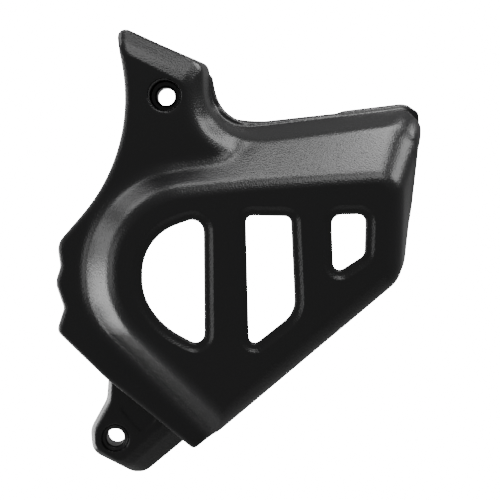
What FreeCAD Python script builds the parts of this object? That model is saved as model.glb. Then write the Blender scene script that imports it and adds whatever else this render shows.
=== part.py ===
import FreeCAD, Part
import Sketcher
import math
import os

# Motorcycle sprocket cover, one hollow moulding in black plastic. Millimetres.
# X points right and Z up as the cover sits on the engine, and the outer face looks towards -Y.
# The origin is midway between the two bolts, on the plane that the bosses bear on.
# A level is a distance from that plane towards the outer face.

doc = FreeCAD.newDocument("SprocketCover")
sheet = doc.addObject("Spreadsheet::Sheet", "Sizes")

SIZES = [
    ("bolt_x", 9.0),  # half the sideways distance between the bolts
    ("bolt_z", 58.75),  # half the upright distance between the bolts
    ("bore", 6.5),  # clearance for an M6 bolt
    ("ear_seat", 11.0),  # recess round the upper bolt head
    ("ear_seat_depth", 13.0),  # brings the upper bolt head down to the lower one's level
    ("lug_seat", 9.6),  # recess round the lower bolt head
    ("lug_seat_depth", 1.2),
    ("boss_wall", 2.5),  # plastic round each bolt head's recess
    ("rear_level", 1.0),  # the open rear rim stays clear of the crankcase
    ("lug_side_level", 5.0),  # where the lug's sloping sides start
    ("lug_level", 11.0),  # face of the lower lug
    ("lip_level", 6.0),  # front of the lip along the upper rim
    ("shoulder_level", 19.0),  # where the upright rim turns into the sloping faces
    ("flange_level", 24.0),  # face of the ear and of the left flange
    ("panel_level", 36.0),  # raised main panel
    ("face_wall", 2.5),
    ("side_wall", 2.0),
    ("edge_roll", 1.6),  # height over which the ear, the flange and the lug roll over
    ("crease_round", 7.0),  # inner rounding where the pod rises from the flange
    ("panel_round", 8.0),  # rounding along the panel's rim
    ("border", 3.4),  # width of the sunk border round each window
    ("border_depth", 1.5),
    ("border_step", 1.7),  # width of the border's steeper outer part
    ("window_rim", 2.2),  # height of the plain edge inside each window
    ("recess_depth", 0.5),  # shallow recess in the lug's face
]
for row, (name, value) in enumerate(SIZES, start=1):
    sheet.set("A%d" % row, name)
    sheet.set("B%d" % row, str(value))
    sheet.setAlias("B%d" % row, name)
doc.recompute()


def size(name):
    return float(sheet.get(name))


# Outlines are corners (x, z, corner radius), clockwise as seen from outside.
LEFT_EDGE = [
    (18.5, -60.1, 1.2),
    (-11.0, -35.9, 20.0),
    (-27.2, -20.1, 2.5),
    (-24.7, -12.4, 2.5),
    (-27.6, -3.8, 5.0),
    (-25.8, 1.4, 5.0),
    (-26.9, 9.1, 6.0),
    (0.4, 40.5, 60.0),
]
CORNER = (89.3, -0.3, 12.0)
TOE = LEFT_EDGE[0]
FOOT = [
    (-7.5, 82.7, 2.5),
    (23.3, 69.5, 3.0),
    (24.8, 47.0, 13.0),
    (47.1, 49.4, 40.0),
    (95.8, 55.2, 6.0),
    CORNER,
] + LEFT_EDGE
SHOULDER = [
    (-7.4, 82.4, 2.5),
    (21.6, 69.1, 3.0),
    (22.0, 41.9, 18.0),
    (47.0, 43.9, 40.0),
    (94.6, 49.6, 9.0),
    CORNER,
] + LEFT_EDGE
LIP = [
    (17.0, 64.0, 1.0),
    (24.5, 67.0, 1.5),
    (26.3, 48.1, 14.0),
    (67.6, 52.7, 1.0),
    (69.9, 53.5, 1.0),
    (92.1, 56.2, 1.0),
    (96.1, 54.0, 1.0),
    (95.9, 47.1, 1.0),
    (88.4, 40.0, 1.0),
    (36.0, 34.0, 1.0),
    (17.0, 44.0, 1.0),
]
LUG_REAR = [
    (18.0, -57.5, 1.0),
    (-0.6, -72.9, 6.5),
    (-17.2, -64.4, 5.0),
    (-17.9, -56.5, 7.0),
    (-12.1, -46.0, 8.0),
    (-11.2, -34.0, 1.0),
    (5.0, -30.0, 1.0),
]
LUG_FACE = [
    (11.5, -49.6, 1.0),
    (-7.6, -67.1, 3.0),
    (-15.9, -61.8, 4.0),
    (-15.9, -56.2, 6.0),
    (-10.3, -46.2, 8.0),
    (-9.6, -34.0, 1.0),
    (5.0, -30.0, 1.0),
]
LUG_RECESS = [
    (-3.3, -42.5, 1.5),
    (5.6, -49.7, 1.0),
    (4.6, -53.4, 1.5),
    (0.2, -57.4, 2.5),
    (-7.8, -48.0, 2.5),
]
WINDOWS = {
    "round": [
        (2.1, 12.2, 17.0),
        (22.5, 19.5, 4.0),
        (22.8, -25.0, 3.2),
        (9.2, -17.7, 25.0),
        (2.0, -7.6, 18.0),
    ],
    "long": [
        (35.9, 19.3, 2.2),
        (51.0, 19.0, 2.2),
        (52.5, -12.9, 9.0),
        (37.0, -25.2, 2.2),
    ],
    "short": [
        (63.9, 19.5, 3.2),
        (75.5, 19.7, 2.6),
        (75.2, 6.0, 3.0),
        (64.6, -0.9, 2.4),
    ],
}


def blend(low, high, share):
    """Corner that far along the straight line from one corner to another."""
    return tuple(a + (b - a) * share for a, b in zip(low, high))


def sides_at(corners, i):
    """Directions of the two sides that meet at a corner, and how far it turns to the left."""
    (x, z, _), before, after = corners[i], corners[i - 1], corners[(i + 1) % len(corners)]
    a = FreeCAD.Vector(x - before[0], z - before[1], 0).normalize()
    b = FreeCAD.Vector(after[0] - x, after[1] - z, 0).normalize()
    return a, b, a.x * b.y - a.y * b.x


def inset(corners, distance):
    """The outline moved inwards by a distance, or outwards by a negative one."""
    moved = []
    for i, (x, z, radius) in enumerate(corners):
        a, b, turn = sides_at(corners, i)
        inward = FreeCAD.Vector(a.y + b.y, -a.x - b.x, 0) / (1 + a.dot(b))
        if radius > 0:
            radius = max(radius - distance if turn < 0 else radius + distance, 0.5)
        moved.append((x + inward.x * distance, z + inward.y * distance, radius))
    return moved


def inset_sides(corners, distances):
    """The outline with each side, counted from its first corner, moved in by its own distance."""
    moved = []
    for i, (x, z, radius) in enumerate(corners):
        a, b, turn = sides_at(corners, i)
        step = (a * distances[i] - b * distances[i - 1]) / turn
        moved.append((x + step.x, z + step.y, radius))
    return moved


def rounded(corners):
    """Lines, and a tangent arc at each corner that has a radius."""
    flat = [FreeCAD.Vector(x, z, 0) for x, z, _ in corners]
    ends = []
    arcs = []
    for i, corner in enumerate(flat):
        radius = corners[i][2]
        if radius == 0:
            ends.append((corner, corner))
            continue
        a = (flat[i - 1] - corner).normalize()
        b = (flat[(i + 1) % len(flat)] - corner).normalize()
        half = a.getAngle(b) / 2
        reach = radius / math.tan(half)
        middle = corner + (a + b).normalize() * (radius / math.sin(half) - radius)
        ends.append((corner + a * reach, corner + b * reach))
        arcs.append(Part.Arc(ends[-1][0], middle, ends[-1][1]))
    lines = [Part.LineSegment(ends[i - 1][1], end[0]) for i, end in enumerate(ends)]
    return arcs + lines


cover = doc.addObject("PartDesign::Body", "Cover")
cover.Label = "sprocket_cover"
upright = [f for f in cover.Origin.OriginFeatures if f.Role == "XZ_Plane"][0]


def sketch(name, level):
    """A sketch parallel to the bearing plane, at a level given as an expression."""
    made = cover.newObject("Sketcher::SketchObject", name)
    made.AttachmentSupport = (upright, [""])
    made.MapMode = "FlatFace"
    made.setExpression("AttachmentOffset.Base.z", level)
    return made


def outline(name, corners, level):
    made = sketch(name, level)
    made.addGeometry(rounded(corners), False)
    return made


def circle(name, x, z, diameter, level):
    """A circle at a bolt, its size and place bound to the sheet."""
    made = sketch(name, level)
    made.addGeometry(Part.Circle(FreeCAD.Vector(1, 1, 0), FreeCAD.Vector(0, 0, 1), 1), False)
    made.addConstraint(Sketcher.Constraint("Diameter", 0, 2))
    made.addConstraint(Sketcher.Constraint("DistanceX", -1, 1, 0, 3, 1))
    made.addConstraint(Sketcher.Constraint("DistanceY", -1, 1, 0, 3, 1))
    made.setExpression("Constraints[0]", diameter)
    made.setExpression("Constraints[1]", x)
    made.setExpression("Constraints[2]", z)
    return made


def loft(kind, name, low, *others):
    """Straight walls through two or more outlines."""
    made = cover.newObject("PartDesign::%sLoft" % kind, name)
    made.Profile = low
    made.Sections = list(others)
    made.Ruled = True
    doc.recompute()
    return made


def pad(name, profile, length):
    made = cover.newObject("PartDesign::Pad", name)
    made.Profile = profile
    made.setExpression("Length", length)
    doc.recompute()
    return made


def pocket(name, profile, length):
    made = cover.newObject("PartDesign::Pocket", name)
    made.Profile = profile
    made.setExpression("Length", length)
    doc.recompute()
    return made


def fillet(name, radius, wanted):
    """Round the edges of the body's last feature for which wanted(edge) is true."""
    base = cover.Tip
    edges = ["Edge%d" % (i + 1) for i, e in enumerate(base.Shape.Edges) if wanted(e)]
    made = cover.newObject("PartDesign::Fillet", name)
    made.Base = (base, edges)
    made.setExpression("Radius", radius)
    doc.recompute()
    return made


def on_level(edge, level):
    points = [edge.valueAt(t) for t in (edge.FirstParameter, edge.LastParameter)]
    points.append(edge.valueAt((edge.FirstParameter + edge.LastParameter) / 2))
    return all(abs(p.y + level) < 0.01 for p in points)


def inner_corner(edge, solid):
    """True where one of the edge's two faces rises on the outer side of the other."""
    t = (edge.FirstParameter + edge.LastParameter) / 2
    middle = edge.valueAt(t)
    one, other = solid.ancestorsOfType(edge, Part.Face)
    normals = [f.normalAt(*f.Surface.parameter(middle)) for f in (one, other)]
    across = normals[0].cross(edge.tangentAt(t)).normalize() * 0.05
    if not one.isPartOfDomain(*one.Surface.parameter(middle + across)):
        across = across * -1
    return across.dot(normals[1]) > 0.005


# The raised pod's outline on the shoulder level and on the panel.
POD_FOOT = [
    (-22.4, 30.5, 39.0),
    blend(SHOULDER[2], SHOULDER[3], 0.65)[:2] + (0.0,),
    SHOULDER[3],
    SHOULDER[4],
    CORNER,
    blend(CORNER, TOE, 0.969)[:2] + (0.0,),
    (-22.4, -14.6, 30.0),
]
PANEL_LEFT = (-7.5, 25.9, 26.0)
PANEL_BEND = (48.5, 29.8, 90.0)
PANEL = [
    PANEL_LEFT,
    blend(PANEL_LEFT, PANEL_BEND, 0.8)[:2] + (0.0,),
    PANEL_BEND,
    (86.0, 31.6, 8.0),
    blend(CORNER, TOE, 0.04)[:2] + (11.0,),
    blend(CORNER, TOE, 0.816)[:2] + (0.0,),
    (-7.5, -12.1, 26.0),
]
# The plateau is the ear and the left flange: it slopes up from the shoulder on its free top
# and right sides and runs on inside the raised pod.
INSIDE_POD = [
    (44.0, 0.0, 1.0),
    (40.0, -30.0, 1.0),
    blend(CORNER, TOE, 0.87)[:2] + (0.0,),
]
PLATEAU_FOOT = [
    SHOULDER[0],
    SHOULDER[1],
    SHOULDER[2],
    blend(SHOULDER[2], SHOULDER[3], 0.8)[:2] + (1.0,),
] + INSIDE_POD + LEFT_EDGE
PLATEAU = [
    blend(SHOULDER[0], LEFT_EDGE[-1], 0.214)[:2] + (1.2,),
    (15.6, 62.6, 2.5),
    (15.9, 38.0, 21.0),
    (41.5, 37.0, 1.0),
] + INSIDE_POD + LEFT_EDGE


def rolled_over(name, foot, top, upright, level):
    """Outlines that turn a sloping side into a level face in two short steps. A side marked
    upright has no slope to turn, so it rolls inwards from its wall instead."""
    made = []
    for step, degrees in enumerate((0, 45, 90)):
        rise, turn = math.sin(math.radians(degrees)), 1 - math.cos(math.radians(degrees))
        corners = [blend(a, b, 0.6 + 0.4 * rise) for a, b in zip(foot, top)]
        corners = inset_sides(corners, [size("edge_roll") * turn * side for side in upright])
        drop = " - %.3f * Sizes.edge_roll" % (1 - rise)
        made.append(outline("%sRoll%d" % (name, step), corners, level + drop))
    return made


def build_outside():
    rim = outline("RimOutline", FOOT, "Sizes.rear_level")
    pad("Rim", rim, "Sizes.lip_level - Sizes.rear_level")
    low = outline("SkirtFoot", FOOT, "Sizes.lip_level")
    high = outline("SkirtTop", SHOULDER, "Sizes.shoulder_level")
    loft("Additive", "Skirt", low, high)
    low = outline("PlateauFoot", PLATEAU_FOOT, "Sizes.shoulder_level")
    free = [0.0] * (len(PLATEAU) - len(LEFT_EDGE)) + [1.0] * len(LEFT_EDGE)
    rolled = rolled_over("Plateau", PLATEAU_FOOT, PLATEAU, free, "Sizes.flange_level")
    loft("Additive", "Plateau", low, *rolled)
    low = outline("PodFoot", POD_FOOT, "Sizes.shoulder_level")
    high = outline("PodTop", PANEL, "Sizes.panel_level")
    pod = loft("Additive", "Pod", low, high)
    flange = size("flange_level")
    fillet(
        "Crease",
        "Sizes.crease_round",
        lambda e: on_level(e, flange) and inner_corner(e, pod.Shape),
    )
    fillet("PanelRim", "Sizes.panel_round", lambda e: on_level(e, size("panel_level")))
    lip = outline("LipOutline", LIP, "Sizes.rear_level")
    pad("Lip", lip, "Sizes.lip_level - Sizes.rear_level")
    side = outline("LugOutline", LUG_REAR, "Sizes.rear_level")
    pad("LugRim", side, "Sizes.lug_side_level - Sizes.rear_level")
    low = outline("LugFoot", LUG_REAR, "Sizes.lug_side_level")
    rolled = rolled_over("Lug", LUG_REAR, LUG_FACE, [0.0] * len(LUG_FACE), "Sizes.lug_level")
    loft("Additive", "Lug", low, *rolled)


def corner_wall(corners, i):
    """Thickness of the side wall at a corner that is rounded on its outside only."""
    a, b, turn = sides_at(corners, i)
    stretch = math.sqrt(2 / (1 + a.dot(b)))
    bulge = corners[i][2] * (stretch - 1)
    return size("side_wall") * stretch + (bulge if turn > 0 else -bulge)


def core_outlines(foot, top):
    """Two outlines moved inwards by the side wall. A corner is sharp on both of them where
    that leaves the wall nearly as thick, and is rounded elsewhere."""
    side = size("side_wall")
    ends = [inset(foot, side), inset(top, side)]
    for i in range(len(foot)):
        walls = [corner_wall(foot, i), corner_wall(top, i)]
        if min(walls) > 0.6 * side and max(walls) < 1.8 * side:
            ends = [end[:i] + [end[i][:2] + (0.0,)] + end[i + 1:] for end in ends]
    return ends


def build_hollow():
    """The same sections again, moved inwards by the side wall and back by the face wall."""
    for name, foot, level, top in (("", FOOT, "lip", SHOULDER), ("Lug", LUG_REAR, "lug_side", LUG_FACE)):
        level = "Sizes.%s_level" % level
        mouth = core_outlines(foot, top)[0]
        mouth = outline(name + "MouthOutline", mouth, level + " - Sizes.face_wall")
        pocket(name + "Mouth", mouth, level)
    stages = [
        ("Skirt", FOOT, "lip", SHOULDER, "shoulder"),
        ("Plateau", PLATEAU_FOOT, "shoulder", PLATEAU, "flange"),
        ("Pod", POD_FOOT, "shoulder", PANEL, "panel"),
        ("Lug", LUG_REAR, "lug_side", LUG_FACE, "lug"),
    ]
    for name, foot, foot_level, top, top_level in stages:
        ends = core_outlines(foot, top)
        low = "Sizes.%s_level - Sizes.face_wall" % foot_level
        high = "Sizes.%s_level - Sizes.face_wall" % top_level
        low = outline(name + "CoreFoot", ends[0], low)
        high = outline(name + "CoreTop", ends[1], high)
        loft("Subtractive", name + "Core", low, high)


def build_windows():
    """Each window has a sunk border, and a plain rim that stands back into the hollow."""
    rim_level = "Sizes.panel_level - Sizes.border_depth - Sizes.window_rim"
    for name, corners in WINDOWS.items():
        name = name.title()
        collar = outline(name + "Collar", inset(corners, -size("border") - size("side_wall")), rim_level)
        pad(name + "Rim", collar, "Sizes.border_depth + Sizes.window_rim - Sizes.face_wall / 2")
    for name, corners in WINDOWS.items():
        name = name.title()
        high = outline(name + "BorderTop", inset(corners, -size("border")), "Sizes.panel_level")
        ledge = inset(corners, size("border_step") - size("border"))
        ledge = outline(name + "BorderLedge", ledge, "Sizes.panel_level - 0.75 * Sizes.border_depth")
        low = outline(name + "BorderFoot", corners, "Sizes.panel_level - Sizes.border_depth")
        loft("Subtractive", name + "Border", high, ledge, low)
        through = outline(name + "Opening", corners, "Sizes.panel_level")
        pocket(name + "Window", through, "Sizes.panel_level")


def build_bolt_seats():
    ear = ("Sizes.bolt_x", "Sizes.bolt_z")
    lug = ("-Sizes.bolt_x", "-Sizes.bolt_z")
    boss = circle("EarBossCircle", *ear, "Sizes.ear_seat + 2 * Sizes.boss_wall", "0")
    pad("EarBoss", boss, "Sizes.flange_level - Sizes.face_wall / 2")
    boss = circle("LugBossCircle", *lug, "Sizes.bore + 2 * Sizes.boss_wall", "0")
    pad("LugBoss", boss, "Sizes.lug_level - Sizes.face_wall / 2")
    for name, place, level in (("Ear", ear, "flange_level"), ("Lug", lug, "lug_level")):
        level = "Sizes." + level
        hole = circle(name + "BoreCircle", *place, "Sizes.bore", level)
        pocket(name + "Bore", hole, level)
        seat = "Sizes.%s_seat" % name.lower()
        hole = circle(name + "SeatCircle", *place, seat, level)
        pocket(name + "Seat", hole, seat + "_depth")
    recess = outline("RecessOutline", LUG_RECESS, "Sizes.lug_level")
    pocket("Recess", recess, "Sizes.recess_depth")


def check(objects):
    for item in objects:
        if "Invalid" in item.State or "Error" in item.State:
            raise RuntimeError("%s did not build: %s" % (item.Name, item.State))
        if hasattr(item, "Shape") and item.TypeId.startswith("PartDesign::"):
            if item.Shape.isNull() or not item.Shape.isValid():
                raise RuntimeError("%s has no sound shape" % item.Name)


build_outside()
build_hollow()
build_windows()
build_bolt_seats()
check(doc.Objects)
os.makedirs("parts", exist_ok=True)
cover.Shape.exportStep("parts/sprocket_cover.step")
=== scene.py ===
import math

import bmesh
import bpy
import numpy
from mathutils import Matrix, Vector


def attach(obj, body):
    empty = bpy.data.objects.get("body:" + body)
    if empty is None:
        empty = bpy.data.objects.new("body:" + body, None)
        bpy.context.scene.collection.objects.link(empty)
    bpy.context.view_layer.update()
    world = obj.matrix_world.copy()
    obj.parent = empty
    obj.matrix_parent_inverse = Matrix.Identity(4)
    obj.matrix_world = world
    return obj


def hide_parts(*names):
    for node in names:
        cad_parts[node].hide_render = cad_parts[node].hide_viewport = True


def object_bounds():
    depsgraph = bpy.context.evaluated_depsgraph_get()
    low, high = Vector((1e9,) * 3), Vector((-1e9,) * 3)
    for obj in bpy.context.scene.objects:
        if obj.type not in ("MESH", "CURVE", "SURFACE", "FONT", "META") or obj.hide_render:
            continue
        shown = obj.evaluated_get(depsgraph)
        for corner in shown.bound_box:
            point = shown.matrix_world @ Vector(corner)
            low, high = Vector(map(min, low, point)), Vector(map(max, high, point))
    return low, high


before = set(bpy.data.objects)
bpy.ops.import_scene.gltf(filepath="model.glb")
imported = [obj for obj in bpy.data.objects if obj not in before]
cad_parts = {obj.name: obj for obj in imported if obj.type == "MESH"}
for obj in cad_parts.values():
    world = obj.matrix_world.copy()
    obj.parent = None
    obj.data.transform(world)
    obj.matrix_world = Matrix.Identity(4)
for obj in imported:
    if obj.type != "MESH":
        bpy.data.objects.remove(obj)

# The cover is one hollow injection moulding in black polypropylene. Its tool was cut with
# generous radii, so every edge of the outer face runs softly into the next. The frame's
# solid gives the form, and the mesh below rounds what the tool rounded. Lengths are in metres.
cad_low, cad_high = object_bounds()
WELD = 1e-6
VOXEL = 0.0003
GROWTH = 0.0002
FACE_LIMIT = 180000
SMOOTHING = 0.5
ROUNDS_ALL_OVER = 24
ROUNDS_WHERE_SOFT = 350
WEIGHT_STEPS = 40

# Small pushes, each along a line from one point to another, with its reach and its offset.
PUSHES = [
    # The right flank bulges a little, and its top corner covers all but the tip of the lip.
    ((0.0955, -0.010, 0.047), (0.0930, -0.010, 0.024), 0.012, (0.0007, 0.0, 0.0)),
    ((0.0930, -0.014, 0.050), (0.0930, -0.012, 0.051), 0.009, (0.0012, 0.0, 0.0010)),
    ((0.0960, -0.002, 0.053), (0.0960, -0.004, 0.053), 0.007, (-0.0014, 0.0, -0.0008)),
    # The lip leans back to its edge.
    ((0.0250, -0.006, 0.066), (0.0268, -0.006, 0.056), 0.0016, (0.0, 0.0004, 0.0)),
    ((0.0268, -0.006, 0.056), (0.0370, -0.006, 0.0500), 0.0016, (0.0, 0.0004, 0.0)),
    ((0.0370, -0.006, 0.0500), (0.0920, -0.006, 0.0562), 0.0016, (0.0, 0.0004, 0.0)),
    # The lip's edge stands a little higher.
    ((0.0270, -0.001, 0.0600), (0.0380, -0.001, 0.0510), 0.0050, (0.0003, 0.0, 0.0004)),
    ((0.0380, -0.001, 0.0510), (0.0900, -0.001, 0.0580), 0.0050, (0.0, 0.0, 0.0006)),
    # The ear's right slope and the saddle below it lie further back.
    ((0.0235, -0.019, 0.060), (0.0260, -0.019, 0.050), 0.006, (0.0, 0.0012, 0.0)),
    ((0.0260, -0.019, 0.050), (0.0340, -0.019, 0.0420), 0.006, (0.0, 0.0013, 0.0)),
    # The edge of the ear's face is fuller above the saddle.
    ((0.0240, -0.023, 0.0480), (0.0270, -0.023, 0.0435), 0.005, (0.0, -0.0007, 0.0)),
]

# The softest places, as lines with a reach and a strength: the ear's right slope, the saddle
# and the crest of the upper wall.
SOFT_LINES = [
    ((0.0220, -0.020, 0.066), (0.0235, -0.020, 0.050), 0.008, 0.7),
    ((0.0235, -0.021, 0.050), (0.0340, -0.023, 0.039), 0.015, 1.0),
    ((0.0340, -0.022, 0.041), (0.0420, -0.023, 0.040), 0.011, 1.0),
    ((0.0330, -0.020, 0.044), (0.0880, -0.020, 0.049), 0.006, 0.5),
]

# The rounding outside leaves little wall along the panel's diagonal rim, so a bar with three
# sides fills the corner inside it. Each corner of its section lies so far in from the rim's
# side and so far back from its face.
RIM_START = Vector((0.0870, -0.036, -0.00224))
RIM_END = Vector((0.0330, -0.036, -0.04785))
BAR_CORNERS = [(0.0012, 0.0065), (0.0024, 0.0029), (0.0060, 0.0017)]
BACKWARDS = Vector((0.0, 1.0, 0.0))


def add_bar(form):
    """Adds the bar to the mesh as a closed body of its own."""
    inward = BACKWARDS.cross(RIM_END - RIM_START).normalized()
    first, last = [
        [form.verts.new(end + inward * side + BACKWARDS * depth) for side, depth in BAR_CORNERS]
        for end in (RIM_START, RIM_END)
    ]
    faces = [form.faces.new(first), form.faces.new(last)]
    for i in range(len(BAR_CORNERS)):
        faces.append(form.faces.new((first[i - 1], first[i], last[i], last[i - 1])))
    bmesh.ops.recalc_face_normals(form, faces=faces)


def moulded_copy(node_name):
    """The node's solid with its loose triangles joined and the bar added, as a new piece."""
    form = bmesh.new()
    form.from_mesh(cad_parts[node_name].data)
    bmesh.ops.remove_doubles(form, verts=form.verts, dist=WELD)
    add_bar(form)
    mesh = bpy.data.meshes.new("moulded_cover")
    form.to_mesh(mesh)
    form.free()
    piece = bpy.data.objects.new("moulded_cover", mesh)
    bpy.context.scene.collection.objects.link(piece)
    return piece


def applied(piece, *modifiers):
    """Puts modifiers on a piece, keeps their result as its mesh and takes them off again."""
    for kind, settings in modifiers:
        modifier = piece.modifiers.new(kind.title(), kind)
        for name, value in settings.items():
            setattr(modifier, name, value)
    bpy.context.view_layer.update()
    shown = piece.evaluated_get(bpy.context.evaluated_depsgraph_get())
    made = bpy.data.meshes.new_from_object(shown)
    piece.modifiers.clear()
    piece.data = made


def vertex_places(piece):
    """The piece's vertices as rows of x, y and z."""
    flat = numpy.empty(len(piece.data.vertices) * 3)
    piece.data.vertices.foreach_get("co", flat)
    return flat.reshape(-1, 3)


def nearness(places, start, end, reach):
    """From 1 for places on the line to 0 for those at its reach and beyond."""
    start = numpy.array(start)
    along = numpy.array(end) - start
    share = numpy.clip((places - start) @ along / (along @ along), 0, 1)
    gap = numpy.linalg.norm(places - start - share[:, None] * along, axis=1)
    return numpy.clip(1 - (gap / reach) ** 2, 0, 1)


def push(piece):
    """Moves the vertices near each push's line."""
    places = vertex_places(piece)
    for start, end, reach, offset in PUSHES:
        places += nearness(places, start, end, reach)[:, None] * numpy.array(offset)
    piece.data.vertices.foreach_set("co", places.ravel())


def soften(piece, group_name):
    """Weights the vertices near the soft lines, in steps, in a vertex group."""
    places = vertex_places(piece)
    weights = numpy.zeros(len(places))
    for start, end, reach, strength in SOFT_LINES:
        weights = numpy.maximum(weights, strength * nearness(places, start, end, reach))
    group = piece.vertex_groups.new(name=group_name)
    for step in range(1, WEIGHT_STEPS + 1):
        near = numpy.flatnonzero(numpy.round(weights * WEIGHT_STEPS) == step)
        group.add(near.tolist(), step / WEIGHT_STEPS, "REPLACE")


def keep_inside(piece, low, high):
    """Brings vertices that stand past the box back to its faces."""
    places = numpy.clip(vertex_places(piece), low, high)
    piece.data.vertices.foreach_set("co", places.ravel())


# The remesh makes one even skin. It is pushed, smoothed all over and then more where it is
# soft, grown by about what the smoothing took off, thinned to the face limit and kept
# inside the solid's box.
cover = moulded_copy("sprocket_cover")
applied(cover, ("REMESH", {"mode": "VOXEL", "voxel_size": VOXEL}))
push(cover)
applied(cover, ("SMOOTH", {"factor": SMOOTHING, "iterations": ROUNDS_ALL_OVER}))
soften(cover, "soft")
applied(
    cover,
    ("SMOOTH", {"factor": SMOOTHING, "iterations": ROUNDS_WHERE_SOFT, "vertex_group": "soft"}),
    ("DISPLACE", {"strength": GROWTH, "mid_level": 0.0}),
)
triangles = len(cover.data.polygons) * 2
applied(cover, ("DECIMATE", {"ratio": min(1.0, FACE_LIMIT / triangles)}))
keep_inside(cover, cad_low, cad_high)
for face in cover.data.polygons:
    face.use_smooth = True


def linear(hex_colour):
    """An sRGB hex colour as linear red, green, blue and alpha."""
    parts = [int(hex_colour[i : i + 2], 16) / 255 for i in (1, 3, 5)]
    return [p / 12.92 if p <= 0.04045 else ((p + 0.055) / 1.055) ** 2.4 for p in parts] + [1.0]


def node(tree, kind, settings, links):
    """Adds a shader node, sets its sockets and links its inputs."""
    made = tree.nodes.new(kind)
    for name, value in settings.items():
        made.inputs[name].default_value = value
    for name, source in links.items():
        tree.links.new(source, made.inputs[name])
    return made


# Moulded grained polypropylene: the tool is spark eroded, which leaves a fine leathery grain of
# about half a millimetre that breaks up the light and keeps the sheen satin.
GRAIN_SIZE = 0.0005
GRAIN_DEPTH = 0.00014
plastic = bpy.data.materials.new("moulded grained black polypropylene")
plastic.use_nodes = True
tree = plastic.node_tree
tree.nodes.clear()
place = node(tree, "ShaderNodeTexCoord", {}, {})
grain = node(
    tree,
    "ShaderNodeTexNoise",
    {"Scale": 1 / GRAIN_SIZE, "Detail": 0.0, "Roughness": 0.5},
    {"Vector": place.outputs["Object"]},
)
bump = node(
    tree,
    "ShaderNodeBump",
    {"Strength": 0.5, "Distance": GRAIN_DEPTH},
    {"Height": grain.outputs["Fac"]},
)
surface = node(
    tree,
    "ShaderNodeBsdfPrincipled",
    {"Base Color": linear("#1a1a1b"), "Roughness": 0.28, "IOR": 1.49},
    {"Normal": bump.outputs["Normal"]},
)
node(tree, "ShaderNodeOutputMaterial", {}, {"Surface": surface.outputs["BSDF"]})
cover.data.materials.clear()
cover.data.materials.append(plastic)
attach(cover, "root")
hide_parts("sprocket_cover")

# The studio has a white sheet far behind, which glows and lights nothing by itself, a pale
# floor well below the cover, and a dim white surround.
BACK = 0.9
FLOOR = -0.9
BACKDROP_GLOW = 18.0
SURROUND_GLOW = 0.26


def sheet(name, corners, colour, glow):
    """A flat staged sheet of matt paper, which glows when it is lit through from behind."""
    mesh = bpy.data.meshes.new(name)
    mesh.from_pydata(corners, [], [(0, 1, 2, 3)])
    piece = bpy.data.objects.new(name, mesh)
    bpy.context.scene.collection.objects.link(piece)
    paper = bpy.data.materials.new(name + " paper")
    paper.use_nodes = True
    shader = paper.node_tree.nodes["Principled BSDF"]
    shader.inputs["Base Color"].default_value = linear(colour)
    shader.inputs["Roughness"].default_value = 0.9
    shader.inputs["Emission Color"].default_value = linear(colour)
    shader.inputs["Emission Strength"].default_value = glow
    mesh.materials.append(paper)
    return piece


backdrop = sheet(
    "backdrop",
    [(-0.4, BACK, FLOOR), (0.5, BACK, FLOOR), (0.5, BACK, 0.4), (-0.4, BACK, 0.4)],
    "#ffffff",
    BACKDROP_GLOW,
)
backdrop.visible_diffuse = False
backdrop.visible_glossy = False
sheet(
    "floor",
    [(-0.8, -0.8, FLOOR), (0.9, -0.8, FLOOR), (0.9, BACK, FLOOR), (-0.8, BACK, FLOOR)],
    "#f2f2f2",
    0.0,
)

# Soft lights stand round the cover: strong ones to the left, above in front and high on the
# right, weaker ones between them, and a small one close above the right corner.
LIT_CENTRE = Vector((0.035, -0.03, 0.005))


def soft_light(name, direction, distance, width, height, watts):
    """A rectangular soft light in that direction from the cover, turned to face it."""
    away = Vector(direction).normalized()
    lamp = bpy.data.lights.new(name, "AREA")
    lamp.shape = "RECTANGLE"
    lamp.size = width
    lamp.size_y = height
    lamp.energy = watts
    holder = bpy.data.objects.new(name, lamp)
    holder.location = LIT_CENTRE + away * distance
    holder.rotation_euler = (-away).to_track_quat("-Z", "Y").to_euler()
    bpy.context.scene.collection.objects.link(holder)


soft_light("light_left", (-0.9, 0.26, -0.38), 0.6, 0.3, 0.4, 2.9)
soft_light("light_left_middle", (-0.96, 0.2, 0.14), 0.65, 0.3, 0.4, 1.0)
soft_light("light_left_front", (-0.915, -0.41, 0.0), 0.7, 0.25, 0.4, 0.7)
soft_light("light_left_back", (-0.62, 0.75, -0.2), 0.7, 0.3, 0.4, 1.2)
soft_light("light_upper_left", (-0.68, 0.12, 0.72), 0.7, 0.3, 0.3, 1.0)
soft_light("light_top_left", (-0.15, 0.08, 1.0), 0.6, 0.16, 0.25, 0.6)
soft_light("light_top", (0.03, 0.08, 1.0), 0.6, 0.135, 0.16, 0.24)
soft_light("light_top_front", (0.18, -0.45, 0.87), 0.7, 0.35, 0.28, 1.25)
soft_light("light_right", (0.77, 0.10, 0.64), 0.6, 0.34, 0.22, 1.35)
soft_light("light_near_right", (0.065, 0.018, 0.165), 0.178, 0.07, 0.05, 0.09)

world = bpy.data.worlds.new("dim studio")
world.use_nodes = True
background = world.node_tree.nodes["Background"]
background.inputs["Color"].default_value = linear("#ffffff")
background.inputs["Strength"].default_value = SURROUND_GLOW
bpy.context.scene.world = world

# The camera looks at the outer face from a little above its middle. The angles are in degrees
# and the focal length is in millimetres.
LOOKS_DOWN = 3.5517
LOOKS_RIGHT = 0.2766
lens = bpy.data.cameras.new("camera")
lens.lens = 104.4
lens.clip_start = 0.01
camera = bpy.data.objects.new("camera", lens)
camera.location = (0.035218, -0.507, 0.037162)
camera.rotation_euler = (math.radians(90 - LOOKS_DOWN), 0.0, math.radians(-LOOKS_RIGHT))
bpy.context.scene.collection.objects.link(camera)
bpy.context.scene.camera = camera
